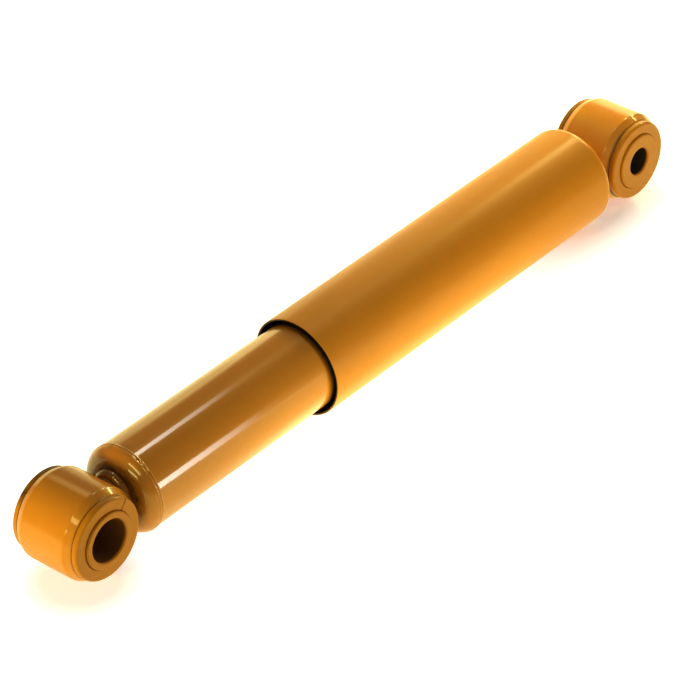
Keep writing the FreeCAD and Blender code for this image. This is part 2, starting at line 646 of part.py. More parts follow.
# Piston rod, piston and its valve
piston_rod = revolved("piston_rod", [
    ("0", "0"),
    ("0", "stem_radius - stem_tail / 2"),
    ("stem_tail / 2", "stem_radius"),
    ("shoulder_station - rod_tip", "stem_radius"),
    ("shoulder_station - rod_tip", "rod_radius"),
    ("stop_station - rod_tip", "rod_radius"),
    ("stop_station - rod_tip", "rod_radius - stop_groove"),
    ("bumper_station - rod_tip", "rod_radius - stop_groove"),
    ("bumper_station - rod_tip", "rod_radius"),
    ("rod_length", "rod_radius"),
    ("rod_length", "0"),
], "rod_tip")
groove_start = "(piston_height - ring_groove_width) / 2"
groove_finish = "(piston_height + ring_groove_width) / 2"
piston = revolved("piston", [
    ("0", "stem_radius + seat_gap"),
    ("0", "piston_radius"),
    (groove_start, "piston_radius"),
    (groove_start, "groove_radius"),
    (groove_finish, "groove_radius"),
    (groove_finish, "piston_radius"),
    ("piston_height", "piston_radius"),
    ("piston_height", "stem_radius + seat_gap"),
], "piston_station")
ports(piston, "piston_ports", "outer_circle", "piston_port_dia", PISTON_PORTS)
ports(piston, "piston_bleeds", "inner_circle", "piston_bleed_dia", PISTON_BLEEDS)
piston_ring = revolved("piston_ring", [
    ("0", "groove_radius + running_gap"),
    ("0", "bore_radius - running_gap"),
    ("ring_groove_width - 2 * running_gap", "bore_radius - running_gap"),
    ("ring_groove_width - 2 * running_gap", "groove_radius + running_gap"),
], f"piston_station + {groove_start} + running_gap")
rebound_discs = disc_stack("rebound_discs", "stem_radius + seat_gap", "check_eye", "rebound_station")
backing_washer = revolved("backing_washer", [
    ("0", "stem_radius + seat_gap"),
    ("0", "washer_radius"),
    ("washer_thickness", "washer_radius"),
    ("washer_thickness", "stem_radius + seat_gap"),
], "washer_station")
nut_blank = doc.addObject("Part::Prism", "nut_blank")
nut_blank.Polygon = 6
bind(nut_blank, "Circumradius", "nut_flats / sqrt(3)")
nut_hole = doc.addObject("Part::Cylinder", "nut_hole")
bind(nut_hole, "Radius", "stem_radius + seat_gap")
piston_nut = doc.addObject("Part::Cut", "piston_nut")
piston_nut.Base = nut_blank
piston_nut.Tool = nut_hole
for blank in (nut_blank, nut_hole):
    bind(blank, "Height", "nut_height")
    blank.Placement.Rotation = FreeCAD.Rotation(FreeCAD.Vector(0, 1, 0), 90)
    bind(blank, "Placement.Base.x", "nut_station")
check_plate = revolved("check_plate", [
    ("0", "check_eye"),
    ("0", "check_rim"),
    ("plate_thickness", "check_rim"),
    ("plate_thickness", "check_eye"),
], "check_station")
check_spring = star_spring("check_spring", "stem_radius + seat_gap", "check_rim - port_land",
                           "spring_station")
support_washer = revolved("support_washer", [
    ("0", "stem_radius + seat_gap"),
    ("0", "washer_radius"),
    ("washer_thickness", "washer_radius"),
    ("washer_thickness", "stem_radius + seat_gap"),
], "support_station")
rebound_stop = revolved("rebound_stop", [
    ("0", "rod_radius - stop_groove + seat_gap"),
    ("0", "stop_radius"),
    ("stop_width", "stop_radius"),
    ("stop_width", "rod_radius - stop_groove + seat_gap"),
], "stop_station")
rebound_bumper = revolved("rebound_bumper", [
    ("0", "rod_radius + seat_gap"),
    ("0", "stop_radius"),
    ("bumper_height / 2", "stop_radius + bumper_bulge"),
    ("bumper_height", "stop_radius - bumper_bulge"),
    ("bumper_height", "rod_radius + seat_gap"),
], "bumper_station")

# Dust tube and its plate
dust_plate = revolved("dust_plate", [
    ("0", "rod_radius + seat_gap"),
    ("0", "dust_radius - dust_shoulder"),
    ("dust_plate_thickness", "dust_radius - dust_shoulder"),
    ("dust_plate_thickness", "rod_radius + seat_gap"),
], "dust_plate_station")
dust_tube = revolved("dust_tube", [
    ("0", "dust_bore"),
    ("0", "dust_radius"),
    ("dust_length - dust_shoulder", "dust_radius", "-dust_shoulder"),
    ("dust_length", "dust_radius - dust_shoulder"),
    ("dust_length", "rod_radius + seat_gap"),
    ("dust_length - dust_wall", "rod_radius + seat_gap"),
    ("dust_length - dust_wall", "dust_radius - dust_shoulder", "dust_shoulder - dust_wall"),
    ("dust_length - dust_shoulder", "dust_bore"),
], "dust_lip")

# Upper eye
upper_weld = eye_weld("upper_eye_weld", "dust_end", "upper_weld_gap", "upper_weld_reach",
                      "upper_ring_radius", 1)
ports(upper_weld, "upper_weld_rod_hole", "0", "rod_dia + 2 * seat_gap", 1)
upper_ring = eye_ring("upper_eye_ring", "upper_ring_bore", "upper_ring_radius", "upper_ring_width",
                      "eye_to_eye")
upper_bush = eye_bush("upper_bush", "upper_sleeve_radius", "upper_ring_bore", "upper_bush_length",
                      "upper_ring_width", "eye_to_eye")
upper_sleeve = eye_sleeve("upper_sleeve", "upper_bore", "upper_sleeve_radius", "upper_sleeve_length",
                          "eye_to_eye")

PIECES = [
    lower_ring, lower_bush, lower_sleeve, lower_weld,
    base_cap, base_seam, reservoir_tube, pressure_tube,
    base_valve, compression_discs, base_bolt, intake_plate, intake_spring,
    rod_guide, guide_bush, guide_o_ring, rod_seal, seal_plate,
    piston_rod, piston, piston_ring, rebound_discs, backing_washer, piston_nut,
    check_plate, check_spring, support_washer, rebound_stop, rebound_bumper,
    dust_plate, dust_tube,
    upper_weld, upper_ring, upper_bush, upper_sleeve,
]

doc.recompute()
for item in doc.Objects:
    if "Invalid" in item.State or "Error" in item.State:
        raise RuntimeError(f"{item.Name} failed: {item.State}")
for piece in PIECES:
    if piece.Shape.isNull() or not piece.Shape.isValid():
        raise RuntimeError(f"{piece.Label} has no valid shape")
for piece in PIECES:
    piece.Shape.exportStep(f"parts/{piece.Label}.step")
print(f"{len(PIECES)} pieces, {value('eye_to_eye'):.2f} mm between eyes")
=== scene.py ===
"""Painted shock absorber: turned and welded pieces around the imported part, its finishes and a studio.

Metres, in the part's own frame: X runs from the lower eye to the upper eye, both eyes turn about Y,
and Z is up.
"""
import math
import random

import bmesh
import bpy
from mathutils import Matrix, Vector


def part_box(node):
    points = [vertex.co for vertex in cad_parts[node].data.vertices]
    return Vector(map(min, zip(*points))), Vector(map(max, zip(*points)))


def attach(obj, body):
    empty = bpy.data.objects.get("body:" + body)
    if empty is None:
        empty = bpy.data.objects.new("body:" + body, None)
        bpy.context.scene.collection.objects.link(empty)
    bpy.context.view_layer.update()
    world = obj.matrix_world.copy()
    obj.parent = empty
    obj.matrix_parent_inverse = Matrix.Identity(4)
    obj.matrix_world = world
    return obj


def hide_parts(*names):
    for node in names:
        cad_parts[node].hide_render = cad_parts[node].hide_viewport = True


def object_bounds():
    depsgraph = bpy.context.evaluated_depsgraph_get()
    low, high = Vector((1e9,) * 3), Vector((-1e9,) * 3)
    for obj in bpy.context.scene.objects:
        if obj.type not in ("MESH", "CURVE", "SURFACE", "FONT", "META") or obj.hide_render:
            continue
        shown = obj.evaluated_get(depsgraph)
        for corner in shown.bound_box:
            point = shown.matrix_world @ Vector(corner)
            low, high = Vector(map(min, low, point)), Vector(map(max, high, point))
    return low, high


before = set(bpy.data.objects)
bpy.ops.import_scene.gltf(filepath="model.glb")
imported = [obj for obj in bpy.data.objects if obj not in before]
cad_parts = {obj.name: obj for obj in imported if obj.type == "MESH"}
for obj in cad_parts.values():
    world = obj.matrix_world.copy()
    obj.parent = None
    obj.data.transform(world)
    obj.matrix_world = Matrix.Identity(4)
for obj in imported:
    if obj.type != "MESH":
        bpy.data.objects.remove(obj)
CAD_BOX = [list(corner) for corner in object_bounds()]

bl_info = {
    "name": "Painted shock absorber",
    "version": (1, 0, 0),
    "blender": (4, 5, 0),
    "location": "3D View > Sidebar > Shock absorber",
    "description": "Models the painted outer pieces of a shock absorber and lights them",
    "category": "Object",
}

MM = 0.001
# Sides of a turned piece.
SEGMENTS = 144
# Radius at the axis of a closed end, and the distance within which points are merged into one.
POLE = 0.01 * MM
MERGE = 0.03 * MM
# Edges that turn by more than the first are rounded off, and those that turn by less than the second are
# shaded smooth.
ROUNDED_OVER = math.radians(22)
SMOOTH_UNDER = math.radians(40)
# Each axis, with the rotation that sets a circle square to it.
DAMPER_AXIS = (Vector((1, 0, 0)), (0, math.pi / 2, 0))
EYE_AXIS = (Vector((0, 1, 0)), (-math.pi / 2, 0, 0))
# The camera: where it stands, what is right and up in its picture, and its lens and film in millimetres.
CAMERA_SPOT = Vector((-1.3090, -1.4396, 1.5016))
CAMERA_RIGHT = Vector((0.6534, -0.7557, -0.0451))
CAMERA_UP = Vector((0.4617, 0.3506, 0.8148))
CAMERA_LENS = 207.8
CAMERA_FILM = 36
# Light of the lamps, and of the two strips among them.
WARM_LIGHT = "#FFEC94"
WHITE_LIGHT = "#FFFAF0"


def linear(code):
    """An sRGB hex colour as linear red, green and blue."""
    channels = [int(code[place:place + 2], 16) / 255 for place in (1, 3, 5)]
    return tuple(c / 12.92 if c <= 0.04045 else ((c + 0.055) / 1.055) ** 2.4 for c in channels)


def length(name, millimetres, description):
    """A size that a user can change, given in millimetres and kept in metres."""
    return bpy.props.FloatProperty(name=name, description=description, default=millimetres * MM,
                                   unit="LENGTH", precision=5)


def colour(name, code, description):
    """A colour that a user can change, given as sRGB hex and kept as linear."""
    return bpy.props.FloatVectorProperty(name=name, description=description, default=linear(code),
                                         subtype="COLOR", size=3, min=0, max=1)


class ShockShape(bpy.types.PropertyGroup):
    """Sizes of the outer pieces that their boxes in the frame don't give."""
    ring_bore: length("Ring bore", 54.0, "Bore of both eye rings")
    ring_bevel_length: length("Ring bevel length", 5.5, "Bevel of an eye ring, along its axis")
    ring_bevel_depth: length("Ring bevel depth", 3.0, "Bevel of an eye ring, across its wall")
    flange_thickness: length("Flange thickness", 4.5, "Rubber flange outside an eye ring")
    flange_rim: length("Flange rim radius", 2.0, "Rounded rim of a rubber flange")
    flange_mouth: length("Flange mouth", 0.5, "Groove in the rubber round a sleeve")
    sleeve_gap: length("Sleeve gap", 0.05, "Gap between a sleeve and its rubber")
    sleeve_chamfer: length("Sleeve chamfer", 0.8, "Chamfer on a sleeve's edges")
    lower_bore: length("Lower bore", 30.0, "Bore of the lower sleeve")
    upper_bore: length("Upper bore", 20.0, "Bore of the upper sleeve")
    split_width: length("Split width", 0.7, "Width of the split in the lower rubber")
    split_depth: length("Split depth", 2.4, "Depth of that split")
    split_angle: bpy.props.FloatProperty(
        name="Split angle", description="Direction of the split above the axis",
        default=math.radians(49), subtype="ANGLE")
    cap_wall: length("Cap wall", 3.0, "Wall of the base cap")
    cap_dome: length("Cap dome", 12.0, "Radius of the base cap's rounded edge")
    cap_rise: length("Cap rise", 8.2, "How deep that edge is along the axis")
    body_wall: length("Body wall", 2.0, "Wall of the reservoir tube")
    rolled_lip: length("Rolled lip", 6.0, "How far the reservoir tube's end is rolled in")
    rolled_radius: length("Rolled radius", 3.0, "Outer radius of that rolled end")
    dust_wall: length("Dust tube wall", 1.5, "Wall of the dust tube")
    dust_shoulder: length("Dust tube shoulder", 6.0, "Rounded shoulder of the dust tube")
    rod_hole: length("Rod hole", 20.1, "Hole for the rod in the dust tube's end")
    edge: length("Edge rounding", 0.5, "Rounding that paint and wear leave on an edge")
    scale_pitch: length("Weld scale pitch", 2.2, "Distance from one weld scale to the next")
    scale_height: length("Weld scale height", 0.22, "How far a weld scale stands up")


class ShockColours(bpy.types.PropertyGroup):
    """Colours of the finishes."""
    ochre: colour("Ochre enamel", "#CF821A", "Enamel where it lies thin")
    ochre_deep: colour("Deep ochre", "#BC7618", "Enamel where it lies thick")
    # Duller, darker enamel for the bushes and sleeve ends: partly paint that lies dull on rubber, partly
    # painted shade on those faces.
    rubber_ochre_and_shade: colour("Ochre on rubber", "#B97414", "Duller enamel on the bushes and sleeve ends")
    rubber_deep_and_shade: colour("Deep ochre on rubber", "#AB6812", "That enamel where it lies thick")
    # Dark enamel on real weld grain, also used as painted shade on the cap, on the weld beads and by the
    # upper flange.
    soot_and_shade: colour("Weld soot", "#5C3F18", "Enamel over the grain that welding left")
    rubber: colour("Bare rubber", "#1A1109", "Rubber where no paint reached it")
    # Paler dust, made paler still as painted light on the upper ring beside the dust tube.
    dust: colour("Weld dust", "#C0924E", "Enamel over the paler dust round the upper weld")
    lower_bore: colour("Lower bore", "#694224", "Oiled steel inside the lower sleeve")
    upper_bore: colour("Upper bore", "#2A262A", "Blued steel inside the upper sleeve")
    # Dark primer, also used as painted shadow past the dust tube's lip and on its lip end.
    primer_and_shadow: colour("Dark primer", "#1E1710", "Primer where the dust tube kept the spray off")
    floor: colour("Floor", "#FFFFFF", "Paper under the part")


def new_tree(name):
    """An empty material and its node tree."""
    material = bpy.data.materials.new(name)
    material.use_nodes = True
    material.node_tree.nodes.clear()
    return material, material.node_tree


def node(tree, kind, sockets=None, **settings):
    """Add one node, set its options, and set or link its sockets."""
    made = tree.nodes.new(kind)
    for key, setting in settings.items():
        setattr(made, key, setting)
    for key, source in (sockets or {}).items():
        if isinstance(source, bpy.types.NodeSocket):
            tree.links.new(source, made.inputs[key])
        else:
            made.inputs[key].default_value = source
    return made


def rgba(shade):
    """A colour with the full opacity that a socket asks for."""
    return (*shade, 1.0)


def per_metre(millimetres):
    """The texture scale at which one feature is this many millimetres across."""
    return 1.0 / (millimetres * MM)


def enamel(name, thin, thick, roughness, coat, coat_roughness, peel):
    """Sprayed alkyd enamel: an even warm ochre, a little deeper where it lies thick, with a fine
    orange peel that wavers the reflections and a clear gloss on top."""
    material, tree = new_tree(name)
    place = node(tree, "ShaderNodeTexCoord").outputs["Object"]
    cloud = node(tree, "ShaderNodeTexNoise", {"Vector": place, "Scale": per_metre(28), "Detail": 3.0})
    speck = node(tree, "ShaderNodeTexNoise", {"Vector": place, "Scale": per_metre(1.6), "Detail": 4.0,
                                              "Roughness": 0.7})
    mottle = node(tree, "ShaderNodeMath", {0: cloud.outputs["Fac"], 1: speck.outputs["Fac"], 2: 0.1},
                  operation="MULTIPLY_ADD")
    shade = node(tree, "ShaderNodeMix", {"Factor": mottle.outputs[0], "A": rgba(thin), "B": rgba(thick)},
                 data_type="RGBA")
    gloss = node(tree, "ShaderNodeMapRange", {"Value": speck.outputs["Fac"], "From Min": 0.3, "From Max": 0.7,
                                              "To Min": roughness * 0.85, "To Max": roughness * 1.15})
    skin = node(tree, "ShaderNodeTexNoise", {"Vector": place, "Scale": per_metre(2.2), "Detail": 1.0})
    bump = node(tree, "ShaderNodeBump", {"Height": skin.outputs["Fac"], "Strength": 0.25, "Distance": peel})
    shader = node(tree, "ShaderNodeBsdfPrincipled", {
        "Base Color": shade.outputs["Result"], "Roughness": gloss.outputs["Result"],
        "Normal": bump.outputs["Normal"], "Coat Weight": coat, "Coat Roughness": coat_roughness, "IOR": 1.5,
        "Specular IOR Level": 0.3, "Specular Tint": rgba(linear("#FFE67C"))})
    node(tree, "ShaderNodeOutputMaterial", {"Surface": shader.outputs["BSDF"]})
    return material


def lay_over(material, mask, shade, roughness):
    """Show another finish on a material wherever the mask is 1."""
    tree = material.node_tree
    shader = next(part for part in tree.nodes if part.bl_idname == "ShaderNodeBsdfPrincipled")
    for socket, cover, kind in (("Base Color", rgba(shade), "RGBA"), ("Roughness", roughness, "FLOAT")):
        under = shader.inputs[socket].links[0].from_socket
        mixed = node(tree, "ShaderNodeMix", {"Factor": mask, "A": under, "B": cover}, data_type=kind)
        tree.links.new(mixed.outputs["Result"], shader.inputs[socket])


def place_about(tree, axis, centre=0.0):
    """Distance from an axis, X or Y, the distances along X, Y and Z, and the place itself."""
    place = node(tree, "ShaderNodeTexCoord").outputs["Object"]
    flat = node(tree, "ShaderNodeMapping", {"Vector": place, "Location": (-centre, 0, 0),
                                            "Scale": [0.0 if part else 1.0 for part in axis[0]]})
    reach = node(tree, "ShaderNodeVectorMath", {0: flat.outputs["Vector"]}, operation="LENGTH")
    return reach.outputs["Value"], node(tree, "ShaderNodeSeparateXYZ", {"Vector": place}).outputs, place


def step_mask(tree, source, bare, covered):
    """A mask that is 1 at one distance and 0 at another."""
    return node(tree, "ShaderNodeMapRange", {"Value": source, "From Min": bare, "From Max": covered,
                                             "To Min": 1.0, "To Max": 0.0}).outputs["Result"]


def patchy(tree, place, size, bare, covered):
    """Irregular patches of about a size, from a threshold on noise."""
    noise = node(tree, "ShaderNodeTexNoise", {"Vector": place, "Scale": per_metre(size), "Detail": 4.0,
                                              "Roughness": 0.6})
    return step_mask(tree, noise.outputs["Fac"], bare, covered)


def joined(tree, first, second, operation):
    """Two masks or levels as one: MAXIMUM where either counts, MULTIPLY where both have to, and MINIMUM
    for the lower of two levels."""
    return node(tree, "ShaderNodeMath", {0: first, 1: second}, operation=operation).outputs[0]


def finish_piece(piece, body, replaced, material):
    """Give a modelled piece its finish and its body, and hide the solid that it stands for."""
    piece.data.materials.clear()
    piece.data.materials.append(material)
    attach(piece, body)
    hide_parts(replaced)


def guarded(outline, guard, closed):
    """The outline with a point added near both ends of each long run, so that shading stays even."""
    points = []
    following = outline[1:] + outline[:1] if closed else outline[1:]
    for here, there in zip(outline, following):
        run = Vector(there) - Vector(here)
        points.append(here)
        if run.length > 4 * guard:
            step = run.normalized() * guard
            points.append(tuple(Vector(here) + step))
            points.append(tuple(Vector(there) - step))
    return points if closed else points + outline[-1:]


def arc(centre, radius, start, finish, steps=8):
    """Outline points along an arc, from one angle in degrees to another."""
    turns = [math.radians(start + (finish - start) * step / steps) for step in range(steps + 1)]
    return [(centre[0] + radius * math.cos(turn), centre[1] + radius * math.sin(turn)) for turn in turns]


def turned(name, outline, axis, centre, rounding, closed=True):
    """Turn an outline of (distance along the axis, radius) pairs, loop by loop, and round its edges."""
    along, tilt = axis
    base = Vector((centre, 0, 0))
    points = guarded(outline, 1.6 * rounding, closed)
    bpy.ops.object.select_all(action="DESELECT")
    bpy.ops.mesh.primitive_circle_add(vertices=SEGMENTS, radius=points[0][1],
                                      location=base + along * points[0][0], rotation=tilt)
    piece = bpy.context.object
    piece.name = piece.data.name = name
    bpy.ops.object.mode_set(mode="EDIT")
    bpy.ops.mesh.select_all(action="SELECT")
    for here, there in zip(points, points[1:] + points[:1] if closed else points[1:]):
        bpy.ops.mesh.extrude_region_move(TRANSFORM_OT_translate={"value": along * (there[0] - here[0])})
        growth = there[1] / here[1]
        bpy.ops.transform.resize(value=[1 if part else growth for part in along],
                                 center_override=base + along * there[0])
    bpy.ops.mesh.select_all(action="SELECT")
    bpy.ops.mesh.remove_doubles(threshold=MERGE)
    bpy.ops.mesh.normals_make_consistent(inside=False)
    bpy.ops.object.mode_set(mode="OBJECT")
    bpy.ops.object.transform_apply(location=True, rotation=True, scale=True)
    bpy.ops.object.modifier_add(type="BEVEL")
    softened = piece.modifiers[-1]
    softened.width = rounding
    softened.segments = 3
    softened.limit_method = "ANGLE"
    softened.angle_limit = ROUNDED_OVER
    bpy.ops.object.modifier_apply(modifier=softened.name)
    bpy.ops.object.shade_smooth_by_angle(angle=SMOOTH_UNDER)
    return piece


def middle(node_name):
    """Where an eye's axis crosses the damper's axis."""
    low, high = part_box(node_name)
    return (low.x + high.x) / 2


class SHOCK_OT_eye_rings(bpy.types.Operator):
    """Turn both eye rings, bevelled at their ends"""
    bl_idname = "shock.eye_rings"
    bl_label = "Eye rings"

    def execute(self, context):
        shape, colours = context.scene.shock_shape, context.scene.shock_colours
        for end, body in (("lower", "cylinder"), ("upper", "rod")):
            solid = f"{end}_eye_ring"
            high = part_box(solid)[1]
            radius, half = high.z, high.y
            outline = [
                (-half, shape.ring_bore / 2),
                (-half, radius - shape.ring_bevel_depth),
                (-half + shape.ring_bevel_length, radius),
                (half - shape.ring_bevel_length, radius),
                (half, radius - shape.ring_bevel_depth),
                (half, shape.ring_bore / 2),
            ]
            ring = turned(f"{end}_eye_ring_painted", outline, EYE_AXIS, middle(solid), 1.4 * shape.edge)
            paint = enamel(f"sprayed_enamel_on_{end}_ring", colours.ochre, colours.ochre_deep, roughness=0.3,
                           coat=0.5, coat_roughness=0.07, peel=0.03 * MM)
            if end == "lower":
                self.weld_grain(paint, colours.soot_and_shade, middle(solid), edge=radius, start=0.6)
            else:
                # Paler dust grain by the upper weld, partly painted light that brightens the ring beside the
                # dust tube.
                self.weld_grain(paint, colours.dust, middle(solid), edge=-radius, start=0.2)
                # Painted shade in the crease between the flange and the dust tube's end.
                self.joint(paint, colours, middle(solid), half)
            finish_piece(ring, body, solid, paint)
        return {"FINISHED"}

    def weld_grain(self, paint, shade, centre, edge, start):
        """Fine grain under the paint at the edge next to the weld, thinning out towards the eye's middle."""
        tree = paint.node_tree
        along, place = place_about(tree, EYE_AXIS)[1:]
        near = step_mask(tree, along["X"], centre + edge, centre + start * edge)
        grain = patchy(tree, place, size=1.2, bare=0.75, covered=0.3)
        lay_over(paint, joined(tree, near, grain, "MULTIPLY"), shade, roughness=0.5)

    def joint(self, paint, colours, centre, half):
        """Painted shade: a dark edge in the crease between the rubber flange and the dust tube's end."""
        tree = paint.node_tree
        along = place_about(tree, EYE_AXIS)[1]
        depth = node(tree, "ShaderNodeMath", {0: along["Y"]}, operation="ABSOLUTE").outputs[0]
        beside = step_mask(tree, along["X"], centre - 14 * MM, centre - 4 * MM)
        edge = step_mask(tree, depth, half - 0.4 * MM, half - 1.6 * MM)
        lay_over(paint, joined(tree, beside, edge, "MULTIPLY"), colours.soot_and_shade, roughness=0.5)


class SHOCK_OT_rubber_bushes(bpy.types.Operator):
    """Turn both rubber bushes with their flanges, and split the lower one's near flange"""
    bl_idname = "shock.rubber_bushes"
    bl_label = "Rubber bushes"

    def execute(self, context):
        shape, colours = context.scene.shock_shape, context.scene.shock_colours
        for end, body, bareness in (("lower", "cylinder", 0.97), ("upper", "rod", 0.6)):
            solid = f"{end}_bush"
            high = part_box(solid)[1]
            rim, half = high.z, high.y
            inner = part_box(f"{end}_sleeve")[1].z + shape.sleeve_gap
            neck = shape.ring_bore / 2 - shape.sleeve_gap
            step = half - shape.flange_thickness
            round_start = rim - shape.flange_rim
            near = arc((-half + shape.flange_rim, round_start), shape.flange_rim, 180, 90)
            far = arc((half - shape.flange_rim, round_start), shape.flange_rim, 90, 0)
            outline = [(-half + shape.flange_mouth, inner), (-half, inner + shape.flange_mouth), *near,
                       (-step, rim), (-step, neck), (step, neck), (step, rim), *far,
                       (half, inner + shape.flange_mouth), (half - shape.flange_mouth, inner)]
            bush = turned(f"{end}_bush_painted", outline, EYE_AXIS, middle(solid), 0.5 * shape.edge)
            if end == "lower":
                self.split(bush, shape, inner, rim, half)
            # The darker ochre here is partly painted shade on the flange faces.
            paint = enamel(f"sprayed_enamel_on_{end}_rubber", colours.rubber_ochre_and_shade, colours.rubber_deep_and_shade,
                           roughness=0.4, coat=0.1, coat_roughness=0.2, peel=0.03 * MM)
            self.bare_rubber(paint, colours, middle(solid), inner + shape.flange_mouth, rim, step, bareness)
            finish_piece(bush, body, solid, paint)
        return {"FINISHED"}

    def bare_rubber(self, paint, colours, centre, mouth, rim, step, bareness):
        """Dark moulded rubber in the groove, in the joint with the ring and over the top of the far rim,
        where the spray missed it and only a thin brown mist lies."""
        tree = paint.node_tree
        reach, along, place = place_about(tree, EYE_AXIS, centre)
        groove = step_mask(tree, reach, mouth - 0.25 * MM, mouth)
        depth = node(tree, "ShaderNodeMath", {0: along["Y"]}, operation="ABSOLUTE").outputs[0]
        joint = step_mask(tree, depth, step + 0.25 * MM, step + 0.6 * MM)
        outer = step_mask(tree, reach, rim - 0.6 * MM, rim - 2.0 * MM)
        far = step_mask(tree, along["Y"], step, step - 0.5 * MM)
        over = step_mask(tree, along["Z"], 21 * MM, 16 * MM)
        mist = node(tree, "ShaderNodeMapRange", {
            "Value": patchy(tree, place, size=14, bare=0.62, covered=0.40),
            "To Min": 0.5 * bareness, "To Max": bareness}).outputs["Result"]
        far_rim = joined(tree, outer, far, "MULTIPLY")
        missed = joined(tree, far_rim, joined(tree, over, mist, "MULTIPLY"), "MULTIPLY")
        bare = joined(tree, joined(tree, groove, joint, "MAXIMUM"), missed, "MAXIMUM")
        lay_over(paint, bare, colours.rubber, roughness=0.55)

    def split(self, bush, shape, inner, rim, half):
        """Cut the radial split with a thin wedge."""
        reach = (inner + rim) / 2
        overcut = 4 * MM
        bpy.ops.object.select_all(action="DESELECT")
        bpy.ops.mesh.primitive_cube_add(size=1, location=(reach, -half, 0))
        knife = bpy.context.object
        knife.scale = (rim - inner + overcut, 2 * shape.split_depth, shape.split_width)
        bpy.ops.object.transform_apply(location=True, rotation=True, scale=True)
        bpy.ops.object.mode_set(mode="EDIT")
        bpy.ops.mesh.select_all(action="SELECT")
        bpy.ops.transform.rotate(value=shape.split_angle, orient_axis="Y", center_override=(0, 0, 0))
        bpy.ops.object.mode_set(mode="OBJECT")
        if sum(corner.co.z for corner in knife.data.vertices) < 0:
            raise RuntimeError("the split was turned below the axis")
        bpy.context.view_layer.objects.active = bush
        bpy.ops.object.modifier_add(type="BOOLEAN")
        cut = bush.modifiers[-1]
        cut.operation = "DIFFERENCE"
        cut.object = knife
        bpy.ops.object.modifier_apply(modifier=cut.name)
        bpy.data.objects.remove(knife)


class SHOCK_OT_sleeves(bpy.types.Operator):
    """Turn both steel sleeves with chamfered edges"""
    bl_idname = "shock.sleeves"
    bl_label = "Sleeves"

    def execute(self, context):
        shape, colours = context.scene.shock_shape, context.scene.shock_colours
        for end, bore, bare in (("lower", shape.lower_bore, colours.lower_bore),
                                ("upper", shape.upper_bore, colours.upper_bore)):
            solid = f"{end}_sleeve"
            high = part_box(solid)[1]
            radius, half, cut = high.z, high.y, shape.sleeve_chamfer
            outline = [
                (-half + cut, bore / 2), (-half, bore / 2 + cut),
                (-half, radius - cut), (-half + cut, radius),
                (half - cut, radius), (half, radius - cut),
                (half, bore / 2 + cut), (half - cut, bore / 2),
            ]
            sleeve = turned(f"{end}_sleeve_painted", outline, EYE_AXIS, middle(solid), 0.5 * shape.edge)
            # The darker ochre here is partly painted shade on the sleeve ends.
            paint = enamel(f"sprayed_enamel_on_{end}_sleeve", colours.rubber_ochre_and_shade, colours.rubber_deep_and_shade,
                           roughness=0.38, coat=0.1, coat_roughness=0.18, peel=0.03 * MM)
            tree = paint.node_tree
            reach, along, _ = place_about(tree, EYE_AXIS, middle(solid))
            depth = node(tree, "ShaderNodeMath", {0: along["Y"]}, operation="ABSOLUTE").outputs[0]
            # Bare steel on the bore's wall, past the overspray at its mouth.
            deep = step_mask(tree, depth, half - cut - 1.4 * MM, half - cut - 0.3 * MM)
            wall = step_mask(tree, reach, bore / 2 + 0.2 * MM, bore / 2 + 0.5 * cut)
            lay_over(paint, joined(tree, wall, deep, "MULTIPLY"), bare, roughness=0.5)
            finish_piece(sleeve, solid, solid, paint)
        return {"FINISHED"}


